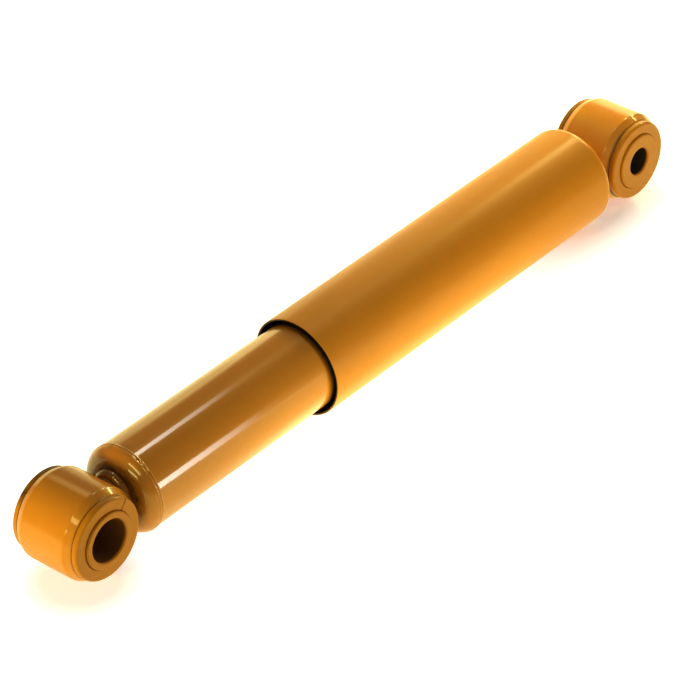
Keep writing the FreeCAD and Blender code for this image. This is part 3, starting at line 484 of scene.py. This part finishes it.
class SHOCK_OT_tubes(bpy.types.Operator):
    """Turn the base cap, its seam weld, the reservoir tube and the dust tube"""
    bl_idname = "shock.tubes"
    bl_label = "Cap and tubes"

    def execute(self, context):
        shape, colours = context.scene.shock_shape, context.scene.shock_colours
        self.base_cap(shape, colours)
        self.seam(shape, colours)
        self.reservoir(shape, colours)
        self.dust_tube(shape, colours)
        return {"FINISHED"}

    def gloss(self, name, colours):
        """A glossy coat, with enough orange peel to fray the edges of a reflected lamp."""
        return enamel(name, colours.ochre, colours.ochre_deep, roughness=0.3, coat=0.75, coat_roughness=0.06,
                      peel=0.05 * MM)

    def base_cap(self, shape, colours):
        """A cup with a flat end and a rounded edge."""
        low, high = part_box("base_cap")
        radius, wall, dome = high.z, shape.cap_wall, shape.cap_dome
        flat = radius - math.sqrt(dome ** 2 - (dome - shape.cap_rise) ** 2)
        bend = (low.x + dome, flat)
        outer = 180 - math.degrees(math.asin((radius - flat) / dome))
        inner = 180 - math.degrees(math.asin((radius - wall - flat) / (dome - wall)))
        outline = [(low.x, POLE), *arc(bend, dome, 180, outer, 16), (high.x, radius), (high.x, radius - wall),
                   *arc(bend, dome - wall, inner, 180, 10), (low.x + wall, POLE)]
        cap = turned("base_cap_painted", outline, DAMPER_AXIS, 0, 0.6 * shape.edge, closed=False)
        paint = self.gloss("sprayed_enamel_on_cap", colours)
        tree = paint.node_tree
        reach, _, place = place_about(tree, DAMPER_AXIS)
        # Darker patches on the flat of the cap round the weld: painted shade where the ring keeps the light
        # off.
        flat_part = step_mask(tree, reach, 0.66 * radius, 0.9 * radius)
        painted_shade_patches = patchy(tree, place, size=8, bare=0.5, covered=0.15)
        lay_over(paint, joined(tree, flat_part, painted_shade_patches, "MULTIPLY"), colours.soot_and_shade, roughness=0.35)
        finish_piece(cap, "cylinder", "base_cap", paint)

    def seam(self, shape, colours):
        """Two ridges side by side, a little uneven all round."""
        low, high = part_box("base_seam_weld")
        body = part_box("base_cap")[1].z
        proud = high.z - body
        crest = (high.x - low.x) / 4
        mid = (low.x + high.x) / 2
        root = body - 0.3 * MM
        ridge_height = 0.85 * proud
        outline = [(low.x, root)]
        for ridge in (-1, 1):
            for turn in range(0, 181, 15):
                rise = ridge_height * math.sin(math.radians(turn)) ** 2
                outline.append((mid + ridge * crest + crest * (turn / 90 - 1), body + rise))
        outline.append((high.x, root))
        seam = turned("base_seam_weld_painted", outline, DAMPER_AXIS, 0, 0.1 * shape.edge)
        bpy.ops.object.mode_set(mode="EDIT")
        bpy.ops.mesh.select_all(action="SELECT")
        bpy.ops.transform.vertex_random(offset=0.5 * proud, normal=1.0, seed=5)
        bpy.ops.mesh.vertices_smooth(factor=0.5, repeat=2)
        bpy.ops.object.mode_set(mode="OBJECT")
        paint = self.gloss("sprayed_enamel_on_seam", colours)
        finish_piece(seam, "cylinder", "base_seam_weld", paint)

    def reservoir(self, shape, colours):
        """A tube whose upper end is rolled in."""
        low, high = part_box("reservoir_tube")
        radius, wall = high.z, shape.body_wall
        bend = (high.x - shape.rolled_radius, radius - shape.rolled_radius)
        outline = [(low.x, radius - wall), (low.x, radius), *arc(bend, shape.rolled_radius, 90, 0),
                   (high.x, radius - shape.rolled_lip), (high.x - wall, radius - shape.rolled_lip),
                   (high.x - wall, radius - wall)]
        tube = turned("reservoir_tube_painted", outline, DAMPER_AXIS, 0, 0.6 * shape.edge)
        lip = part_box("dust_tube")[0].x
        paint = self.gloss("sprayed_enamel_on_body", colours)
        tree = paint.node_tree
        along = place_about(tree, DAMPER_AXIS)[1]
        # Dark primer under the dust tube, and a soft dark edge past its lip: painted shadow of the lip on the
        # body.
        primer_and_lip_shadow = step_mask(tree, along["X"], lip + 1.5 * MM, lip - 3.5 * MM)
        lay_over(paint, primer_and_lip_shadow, colours.primer_and_shadow, roughness=0.6)
        finish_piece(tube, "cylinder", "reservoir_tube", paint)

    def dust_tube(self, shape, colours):
        """A drawn cup, open at its lip, with a rounded shoulder and a hole for the rod."""
        low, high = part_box("dust_tube")
        radius, wall, shoulder = high.z, shape.dust_wall, shape.dust_shoulder
        bend = (high.x - shoulder, radius - shoulder)
        outline = [(low.x, radius - wall), (low.x, radius), *arc(bend, shoulder, 90, 0, 12),
                   (high.x, shape.rod_hole / 2), (high.x - wall, shape.rod_hole / 2),
                   *arc(bend, shoulder - wall, 0, 90)]
        tube = turned("dust_tube_painted", outline, DAMPER_AXIS, 0, 0.8 * shape.edge)
        paint = enamel("sprayed_satin_enamel_on_dust_tube", colours.ochre, colours.ochre_deep, roughness=0.42,
                       coat=0.22, coat_roughness=0.24, peel=0.03 * MM)
        tree = paint.node_tree
        reach, along, _ = place_about(tree, DAMPER_AXIS)
        # Dark primer inside and on the lip's end, partly painted shade for the dark gap at the lip, and
        # glossier paint on the smooth drawn shoulder.
        within = step_mask(tree, reach, radius - 0.5 * MM, radius - 0.15 * MM)
        open_end = step_mask(tree, along["X"], bend[0] - 2 * MM, bend[0] - 1 * MM)
        lay_over(paint, joined(tree, within, open_end, "MULTIPLY"), colours.primer_and_shadow, roughness=0.6)
        drawn = step_mask(tree, along["X"], bend[0] + 2 * MM, bend[0] - 1 * MM)
        lay_over(paint, drawn, colours.ochre, roughness=0.2)
        finish_piece(tube, "rod", "dust_tube", paint)


class SHOCK_OT_eye_welds(bpy.types.Operator):
    """Lay a scaled weld bead between each eye ring and the end that carries it"""
    bl_idname = "shock.eye_welds"
    bl_label = "Eye welds"

    def execute(self, context):
        shape, colours = context.scene.shock_shape, context.scene.shock_colours
        paint = enamel("sprayed_enamel_on_welds", colours.ochre, colours.ochre_deep, roughness=0.26,
                       coat=0.85, coat_roughness=0.06, peel=0.06 * MM)
        tree = paint.node_tree
        place = node(tree, "ShaderNodeTexCoord").outputs["Object"]
        # Darker patches over the beads: partly weld soot, partly painted shade on their shaded fronts.
        stain_and_shade = joined(tree, patchy(tree, place, size=2.5, bare=0.6, covered=0.35), 0.6, "MULTIPLY")
        lay_over(paint, stain_and_shade, colours.soot_and_shade, roughness=0.3)
        for end, body, seed, squeeze in (("lower", "cylinder", 3, 0.76), ("upper", "rod", 8, 1.0)):
            solid = f"{end}_eye_weld"
            low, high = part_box(solid)
            ring_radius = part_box(f"{end}_eye_ring")[1].z
            ring_centre = middle(f"{end}_eye_ring")
            face = high.x if end == "lower" else low.x
            bead = self.bead(f"{solid}_painted", face, ring_centre, ring_radius, high.z, shape, seed)
            bpy.ops.object.mode_set(mode="EDIT")
            bpy.ops.mesh.select_all(action="SELECT")
            bpy.ops.transform.resize(value=(1, squeeze, 1), center_override=(face, 0, 0))
            bpy.ops.object.mode_set(mode="OBJECT")
            finish_piece(bead, body, solid, paint)
        return {"FINISHED"}

    def bead(self, name, face, ring_centre, ring_radius, reach, shape, seed):
        """A cone from the flat end to the ring, and on its root a torus squeezed loop by loop into a bead
        with a scale every few loops."""
        draw = random.Random(seed)
        # The bead's radius, how far it bites into its neighbours, and the widest gap that it fills.
        minor = 3.4 * MM
        overlap = 1.2 * MM
        widest = 4.4 * MM
        loops_per_scale = 5
        path = reach - minor
        scales = round(2 * math.pi * reach / shape.scale_pitch)
        loops = scales * loops_per_scale
        side = 1 if ring_centre > face else -1
        # The cone is as deep as the gap from the face to the ring is this far out.
        out = 0.8 * reach
        depth = abs(ring_centre - face) - math.sqrt(ring_radius ** 2 - out ** 2)
        foot = reach - 0.5 * minor
        top = reach - 1.6 * minor
        cone = [(face, POLE), (face, foot), (face + side * depth, top), (face + side * depth, POLE)]
        root = turned(name, cone, DAMPER_AXIS, 0, 0.5 * shape.edge, closed=False)
        bpy.ops.object.select_all(action="DESELECT")
        bpy.ops.mesh.primitive_torus_add(major_segments=loops, minor_segments=20, major_radius=path,
                                         minor_radius=minor, location=(face, 0, 0), rotation=DAMPER_AXIS[1])
        bead = bpy.context.object
        bpy.ops.object.transform_apply(location=True, rotation=True, scale=True)
        bpy.ops.object.mode_set(mode="EDIT")
        mesh = bmesh.from_edit_mesh(bead.data)
        groups = {}
        for corner in mesh.verts:
            turn = math.atan2(corner.co.z, corner.co.y) % (2 * math.pi)
            groups.setdefault(round(turn * loops / (2 * math.pi)) % loops, []).append(corner)
        lumps = [draw.uniform(0.6, 1.2) for _ in range(scales)]
        for number, corners in groups.items():
            turn = 2 * math.pi * number / loops
            height = path * math.sin(turn)
            gap = min(abs(ring_centre - face) - math.sqrt(ring_radius ** 2 - height ** 2), widest)
            scale, phase = divmod(number, loops_per_scale)
            rise = shape.scale_height * lumps[scale] * (1 - phase / (loops_per_scale - 1))
            swell = (minor + rise) / minor
            bpy.ops.mesh.select_all(action="DESELECT")
            for corner in corners:
                corner.select_set(True)
            mesh.select_flush_mode()
            spot = Vector((face, path * math.cos(turn), height))
            bpy.ops.transform.resize(value=((gap / 2 + overlap) / minor, swell, swell), center_override=spot)
            bpy.ops.transform.translate(value=(side * gap / 2, 0, 0))
        bpy.ops.mesh.select_all(action="SELECT")
        bpy.ops.mesh.normals_make_consistent(inside=False)
        bpy.ops.object.mode_set(mode="OBJECT")
        root.select_set(True)
        bpy.context.view_layer.objects.active = root
        bpy.ops.object.join()
        bpy.ops.object.shade_smooth_by_angle(angle=math.radians(60))
        return root


def stock(name, light, dark, roughness, metallic, grain, stretch, relief):
    """A finish as it leaves the works: two close tones, gloss and relief that follow one drawn-out grain."""
    material, tree = new_tree(name)
    place = node(tree, "ShaderNodeTexCoord").outputs["Object"]
    drawn = node(tree, "ShaderNodeMapping", {"Vector": place, "Scale": stretch}).outputs["Vector"]
    fine = node(tree, "ShaderNodeTexNoise", {"Vector": drawn, "Scale": per_metre(grain),
                                             "Detail": 4.0}).outputs["Fac"]
    tone = patchy(tree, drawn, grain, bare=0.65, covered=0.35)
    shade = node(tree, "ShaderNodeMix", {"Factor": tone, "A": rgba(linear(light)), "B": rgba(linear(dark))},
                 data_type="RGBA")
    gloss = node(tree, "ShaderNodeMapRange", {"Value": fine, "From Min": 0.3, "From Max": 0.7,
                                              "To Min": roughness * 0.8, "To Max": roughness * 1.2})
    bump = node(tree, "ShaderNodeBump", {"Height": fine, "Strength": 0.4, "Distance": relief * MM})
    shader = node(tree, "ShaderNodeBsdfPrincipled", {
        "Base Color": shade.outputs["Result"], "Roughness": gloss.outputs["Result"], "Metallic": metallic,
        "Normal": bump.outputs["Normal"]})
    node(tree, "ShaderNodeOutputMaterial", {"Surface": shader.outputs["BSDF"]})
    return material


class SHOCK_OT_inner_finishes(bpy.types.Operator):
    """Give the pieces inside the damper their finishes"""
    bl_idname = "shock.inner_finishes"
    bl_label = "Inner finishes"

    def execute(self, context):
        finishes = {}
        for material, names in self.finishes():
            finishes.update(dict.fromkeys(names, material))
        for name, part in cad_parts.items():
            if part.hide_render:
                continue
            if name not in finishes:
                raise RuntimeError(f"{name} has no finish")
            part.data.materials.clear()
            part.data.materials.append(finishes[name])
        return {"FINISHED"}

    def finishes(self):
        """Each finish with the pieces that have it."""
        # How a grain is drawn out: along the axis, round it, or not at all.
        along, around, even = (0.02, 1, 1), (1, 0.03, 0.03), (1, 1, 1)
        # Grey steel with faint draw lines along the axis and a film of oil.
        yield (stock("cold_drawn_steel_oiled", "#9A9894", "#7C7A75", roughness=0.3, metallic=1.0, grain=0.4,
                     stretch=along, relief=0.01),
               ("pressure_tube", "seal_plate", "dust_plate", "rebound_stop", "backing_washer",
                "support_washer", "piston_nut", "base_valve_bolt"))
        # Bright blue-white mirror, its grinding rings, drawn coarser than real ones, running round the rod.
        yield (stock("hard_chrome_ground", "#C9CCD2", "#B9BCC4", roughness=0.1, metallic=1.0, grain=0.15,
                     stretch=around, relief=0.002),
               ("piston_rod",))
        # Dull charcoal grey, peppered with tiny dark pores.
        yield (stock("sintered_iron_steam_treated", "#5B5C60", "#37383B", roughness=0.5, metallic=0.85,
                     grain=0.45, stretch=even, relief=0.03),
               ("piston", "base_valve_body", "rod_guide"))
        # Smooth rolled sheet with a straw tint that clouds to blue from its temper.
        yield (stock("spring_steel_tempered", "#8C8272", "#5F6878", roughness=0.25, metallic=1.0, grain=9.0,
                     stretch=even, relief=0.005),
               ("compression_discs", "rebound_discs", "intake_plate", "intake_spring", "check_plate",
                "check_spring"))
        # Warm brown-gold with fine pores that hold oil.
        yield (stock("sintered_bronze_bearing", "#A97B45", "#7E5830", roughness=0.4, metallic=1.0, grain=0.4,
                     stretch=even, relief=0.02),
               ("guide_bush",))
        # Waxy dark green, flecked lighter by its bronze filling.
        yield (stock("bronze_filled_ptfe_moulded", "#2F3B33", "#57533B", roughness=0.45, metallic=0.0,
                     grain=0.5, stretch=even, relief=0.004),
               ("piston_ring",))
        # Soft black with a faint grey bloom.
        yield (stock("nitrile_rubber_moulded", "#121212", "#1F1E1D", roughness=0.6, metallic=0.0, grain=3.0,
                     stretch=even, relief=0.01),
               ("rod_seal", "guide_o_ring", "rebound_bumper"))


class SHOCK_OT_stage(bpy.types.Operator):
    """Set the floor, the lamps, the world and the camera"""
    bl_idname = "shock.stage"
    bl_label = "Studio"

    def execute(self, context):
        colours = context.scene.shock_colours
        self.floor(colours)
        self.lamps()
        self.world()
        self.camera(context.scene)
        context.scene.view_settings.view_transform = "Standard"
        return {"FINISHED"}

    def floor(self, colours):
        """White paper that glows like a light table, keeps the part's shadow and has painted shadow at the
        part's ends.
        """
        # How brightly the paper glows for the camera, on the paint that it lights, and in reflections.
        seen, thrown, mirrored = 0.91, 0.57, 0.82
        whiteness = 0.9
        bpy.ops.object.select_all(action="DESELECT")
        bpy.ops.mesh.primitive_plane_add(size=9, location=(0.27, 0, CAD_BOX[0][2] - 0.2 * MM))
        paper = bpy.context.object
        paper.name = "floor"
        bpy.ops.object.transform_apply(location=True, rotation=True, scale=True)
        material, tree = new_tree("white_paper_floor")
        ray = node(tree, "ShaderNodeLightPath")
        place = node(tree, "ShaderNodeTexCoord").outputs["Object"]
        # What the camera sees is dimmed at both ends: painted shadow where the shadow lies. At the upper end,
        # which moves, only paper close to the part is dimmed, as ambient occlusion finds it.
        end = self.level(tree, place, (0.512, -0.012), (0.06, 0.026), (0.5, 1.6), (0.3, seen))
        near = node(tree, "ShaderNodeAmbientOcclusion", {"Distance": 0.1}).outputs["AO"]
        clear = node(tree, "ShaderNodeMapRange", {"Value": near, "From Min": 0.6, "From Max": 0.9,
                                                  "To Min": 0.0, "To Max": seen}).outputs["Result"]
        end = joined(tree, end, clear, "MAXIMUM")
        eye = self.level(tree, place, (-0.008, -0.008), (0.025, 0.025), (1.0, 1.7), (0.5, seen))
        # What the paint mirrors is dimmed behind and under the lower eye: painted shadow in the reflections.
        behind = self.level(tree, place, (0.068, 0.055), (0.026, 0.04), (0.7, 1.4), (0.08, mirrored))
        under = self.level(tree, place, (-0.012, 0.015), (0.03, 0.03), (0.5, 1.5), (0.2, mirrored))
        bounce = node(tree, "ShaderNodeMapRange", {"Value": ray.outputs["Is Glossy Ray"], "To Min": thrown,
                                                   "To Max": joined(tree, behind, under, "MINIMUM")})
        # The paper lights the tubes more from right below them.
        belly = self.level(tree, place, (0.285, -0.026), (0.125, 0.02), (0.7, 1.3), (2.6, 1.0))
        cast = joined(tree, bounce.outputs["Result"], belly, "MULTIPLY")
        glow = node(tree, "ShaderNodeMix", {"Factor": ray.outputs["Is Camera Ray"], "A": cast,
                                            "B": joined(tree, end, eye, "MINIMUM")}, data_type="FLOAT")
        tint = node(tree, "ShaderNodeMix", {"Factor": ray.outputs["Is Camera Ray"],
                                            "A": rgba(linear("#FFEFA0")), "B": rgba(colours.floor)},
                    data_type="RGBA")
        matt = [part * whiteness for part in colours.floor]
        diffuse = node(tree, "ShaderNodeBsdfDiffuse", {"Color": rgba(matt)})
        emission = node(tree, "ShaderNodeEmission", {"Color": tint.outputs["Result"],
                                                     "Strength": glow.outputs["Result"]})
        both = node(tree, "ShaderNodeAddShader", {0: diffuse.outputs[0], 1: emission.outputs[0]})
        node(tree, "ShaderNodeOutputMaterial", {"Surface": both.outputs[0]})
        paper.data.materials.append(material)

    def level(self, tree, place, centre, reach, rim, glow):
        """How brightly the paper glows: one level in an oval about a centre, another outside its soft rim."""
        spot = node(tree, "ShaderNodeMapping",
                    {"Vector": place, "Location": (*centre, 0), "Scale": (*reach, 1)},
                    vector_type="TEXTURE").outputs["Vector"]
        off = node(tree, "ShaderNodeVectorMath", {0: spot}, operation="LENGTH").outputs["Value"]
        return node(tree, "ShaderNodeMapRange", {"Value": off, "From Min": rim[0], "From Max": rim[1],
                                                 "To Min": glow[0], "To Max": glow[1]}).outputs["Result"]

    def lamps(self):
        """Warm panels, some of them soft, fills that show in no reflection, glints that show in nothing else,
        and two white strips that draw the streaks."""
        ground = CAD_BOX[0][2]
        for name, spot, aim, size, power, kind in (
                ("end panel", (1.19, 0.13, 0.36), (0.5, 0, 0.03), (0.05, 0.45), 3.3, "panel"),
                ("end top", (1.15, 0.41, 0.2), (0.55, 0, 0.03), (0.35, 0.35), 1.0, "panel"),
                ("end fill", (0.60, 0.25, 0.22), (0.52, 0, 0.02), (0.2, 0.12), 1.6, "fill"),
                ("back sweep", (0.8, 1.3, 0.2), (0.3, 0, 0.2), (0.9, 0.46), 1.7, "panel"),
                ("back corner", (1.5, 1.1, 0.25), (0.6, 0, 0.1), (0.9, 0.5), 1.4, "panel"),
                ("back panel", (0.8, 0.95, 0.41), (0.06, 0, 0.03), (0.24, 0.36), 0.6, "soft"),
                ("dust top", (1.06, 0.18, 0.62), (0.50, 0, 0.03), (0.08, 0.13), 1.7, "glint"),
                ("eye top", (0.42, 0.55, 0.68), (0, 0, 0.03), (0.36, 0.2), 0.8, "soft"),
                ("front bar", (-0.69, -0.29, 0.93), (0.04, 0, 0.02), (0.2, 0.74), 5.4, "glint"),
                ("low front bar", (-1.08, -0.14, 0.5), (0.04, 0, 0.02), (0.5, 0.16), 3.2, "glint"),
                ("eye fill", (-0.6, 0.12, 0.12), (0, 0, 0), (0.14, 0.14), 4.0, "fill"),
                ("dust fill", (0.46, -0.36, 0.32), (0.45, 0, 0.02), (0.20, 0.16), 0.4, "fill"),
                ("floor bounce", (0.24, -0.2, ground), (0.24, -0.2, 1), (0.5, 0.34), 0.15, "panel"),
                ("floor fill", (0.27, -0.12, ground), (0.27, -0.12, 1), (0.3, 0.16), 0.3, "fill"),
                ("overhead strip", (0.605, 0.10, 0.85), (0.05, 0, 0.03), (0.21, 0.15), 2.0, "glint strip"),
                ("low side strip", (0.54, -0.71, 0.064), (0.08, 0, 0.02), (0.16, 0.17), 1.8, "strip")):
            lamp = bpy.data.lights.new(name, "AREA")
            lamp.shape = "RECTANGLE"
            lamp.size, lamp.size_y = size
            lamp.energy = power
            lamp.color = linear(WHITE_LIGHT if "strip" in kind else WARM_LIGHT)
            if "strip" in kind or "soft" in kind:
                self.fade(lamp, kind)
            holder = bpy.data.objects.new(name, lamp)
            bpy.context.scene.collection.objects.link(holder)
            back = (Vector(spot) - Vector(aim)).normalized()
            # A lamp is as wide along the part as its first size says, or across it if it faces along it.
            guide = Vector((0, 1, 0)) if abs(back.x) > 0.9 else Vector((1, 0, 0))
            wide = (guide - back * back.dot(guide)).normalized()
            turn = Matrix((wide, back.cross(wide), back)).transposed()
            holder.matrix_world = Matrix.Translation(spot) @ turn.to_4x4()
            holder.visible_camera = False
            holder.visible_glossy = "fill" not in kind
            holder.visible_diffuse = "glint" not in kind

    def fade(self, lamp, kind):
        """Let a strip die away along its length, so that its streak does too, and a soft panel to its rim."""
        lamp.use_nodes = True
        tree = lamp.node_tree
        tree.nodes.clear()
        across = node(tree, "ShaderNodeNewGeometry").outputs["Parametric"]
        if "strip" in kind:
            full, dark = 0.3, 0.95
            reach = node(tree, "ShaderNodeSeparateXYZ", {"Vector": across}).outputs["X"]
        else:
            full, dark = 0.0, 0.5
            reach = node(tree, "ShaderNodeVectorMath", {0: across, 1: (0.5, 0.5, 0)},
                         operation="DISTANCE").outputs["Value"]
        glow = node(tree, "ShaderNodeEmission", {"Strength": step_mask(tree, reach, full, dark)})
        node(tree, "ShaderNodeOutputLight", {"Surface": glow.outputs[0]})

    def world(self):
        """White behind the part, and a little light from all round."""
        seen, thrown = 1.0, 0.15
        world = bpy.data.worlds.new("studio")
        bpy.context.scene.world = world
        world.use_nodes = True
        tree = world.node_tree
        tree.nodes.clear()
        ray = node(tree, "ShaderNodeLightPath").outputs["Is Camera Ray"]
        level = node(tree, "ShaderNodeMapRange", {"Value": ray, "To Min": thrown, "To Max": seen})
        sky = node(tree, "ShaderNodeBackground", {"Color": rgba(linear("#FFFBF2")),
                                                  "Strength": level.outputs["Result"]})
        node(tree, "ShaderNodeOutputWorld", {"Surface": sky.outputs[0]})

    def camera(self, scene):
        """Look at the part from where the photograph was taken."""
        view = bpy.data.cameras.new("camera")
        view.lens = CAMERA_LENS
        view.sensor_width = CAMERA_FILM
        holder = bpy.data.objects.new("camera", view)
        scene.collection.objects.link(holder)
        turn = Matrix((CAMERA_RIGHT, CAMERA_UP, CAMERA_RIGHT.cross(CAMERA_UP))).transposed()
        holder.matrix_world = Matrix.Translation(CAMERA_SPOT) @ turn.to_4x4()
        scene.camera = holder


OPERATORS = (SHOCK_OT_eye_rings, SHOCK_OT_rubber_bushes, SHOCK_OT_sleeves, SHOCK_OT_tubes, SHOCK_OT_eye_welds,
             SHOCK_OT_inner_finishes, SHOCK_OT_stage)


class SHOCK_PT_panel(bpy.types.Panel):
    """The operators and settings of the shock absorber"""
    bl_label = "Shock absorber"
    bl_space_type = "VIEW_3D"
    bl_region_type = "UI"
    bl_category = "Shock absorber"

    def draw(self, context):
        for operator in OPERATORS:
            self.layout.operator(operator.bl_idname)
        for group in (context.scene.shock_shape, context.scene.shock_colours):
            for name in group.bl_rna.properties.keys():
                if name not in ("rna_type", "name"):
                    self.layout.prop(group, name)


CLASSES = (ShockShape, ShockColours, *OPERATORS, SHOCK_PT_panel)


def register():
    for cls in CLASSES:
        bpy.utils.register_class(cls)
    bpy.types.Scene.shock_shape = bpy.props.PointerProperty(type=ShockShape)
    bpy.types.Scene.shock_colours = bpy.props.PointerProperty(type=ShockColours)


def unregister():
    del bpy.types.Scene.shock_colours
    del bpy.types.Scene.shock_shape
    for cls in reversed(CLASSES):
        bpy.utils.unregister_class(cls)


def main():
    register()
    bpy.ops.shock.eye_rings()
    bpy.ops.shock.rubber_bushes()
    bpy.ops.shock.sleeves()
    bpy.ops.shock.tubes()
    bpy.ops.shock.eye_welds()
    bpy.ops.shock.inner_finishes()
    bpy.ops.shock.stage()


if __name__ == "__main__":
    main()
